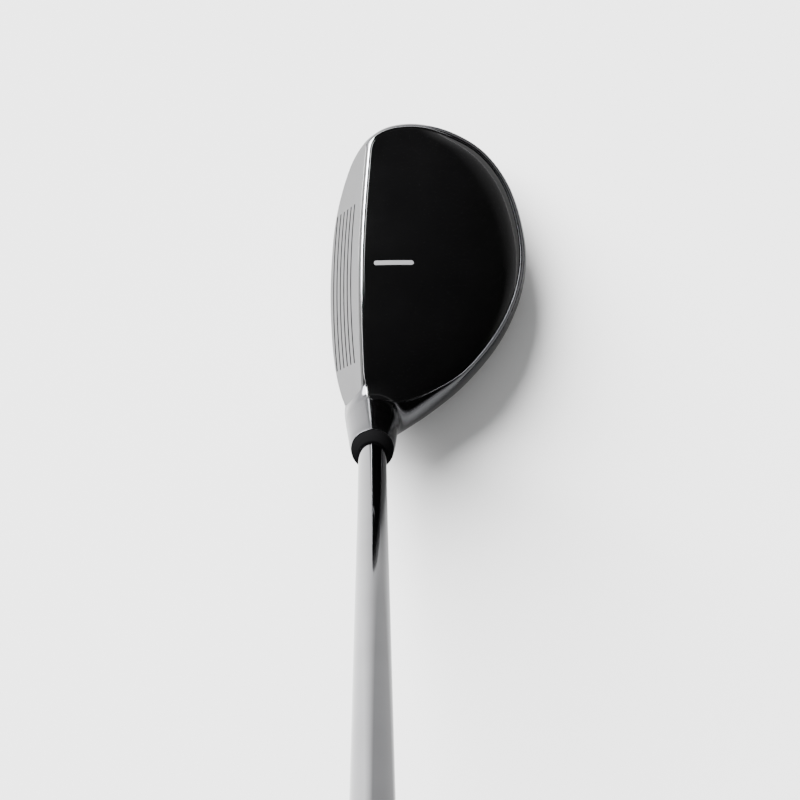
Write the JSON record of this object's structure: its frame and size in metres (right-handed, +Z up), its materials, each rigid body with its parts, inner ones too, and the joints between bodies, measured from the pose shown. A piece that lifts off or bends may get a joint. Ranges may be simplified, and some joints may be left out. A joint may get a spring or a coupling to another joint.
{
  "type": "hybrid golf club",
  "caption": "Right-handed hybrid golf club: hollow steel head with a black crown and lofted grooved face, ferrule, tapered chromed shaft and rubber grip, standing at address.",
  "frame": {"origin": "point on the ground under the middle of the face, in the vertical plane that holds the shaft axis", "axes": "+Z up, -Y towards the target, +X from the toe to the heel and the golfer; the shaft leans towards +X at the lie angle"},
  "size_m": [0.611, 0.0719, 0.8808],
  "materials": {
    "satin_steel": "satin blasted steel",
    "polished_steel": "polished steel",
    "face_steel": "fine satin steel with scorelines",
    "black_paint": "gloss black paint with a clear coat",
    "sole_steel": "brushed steel",
    "tungsten": "matte dark tungsten alloy",
    "black_rubber": "matte black rubber",
    "badge": "plain gloss black enamel",
    "glue": "translucent hot-melt glue",
    "white_paint": "pale grey paint",
    "ferrule_plastic": "buffed black plastic",
    "epoxy": "cured epoxy",
    "brass": "turned brass",
    "chrome": "bright plated steel",
    "band_film": "plain dark film",
    "tape": "paper tape",
    "grip_rubber": "matte black moulded rubber",
    "cap_rubber": "smooth black rubber"
  },
  "bodies": {
    "root": {"head_body": "satin_steel", "hosel_neck": "polished_steel", "top_rail": "polished_steel", "face_plate": "face_steel", "crown_plate": "black_paint", "sole_plate": "sole_steel", "rear_weight_bar": "tungsten", "weight_port": "sole_steel", "weight_screw": "tungsten", "screw_washer": "black_rubber", "sole_badge": "badge", "rattle_glue": "glue", "alignment_mark": "white_paint", "ferrule": "ferrule_plastic", "tip_epoxy": "epoxy", "tip_plug": "brass", "shaft": "chrome", "shaft_band": "band_film", "grip_tape": "tape", "grip_sleeve": "grip_rubber", "grip_cap": "cap_rubber"}
  },
  "joints": []
}
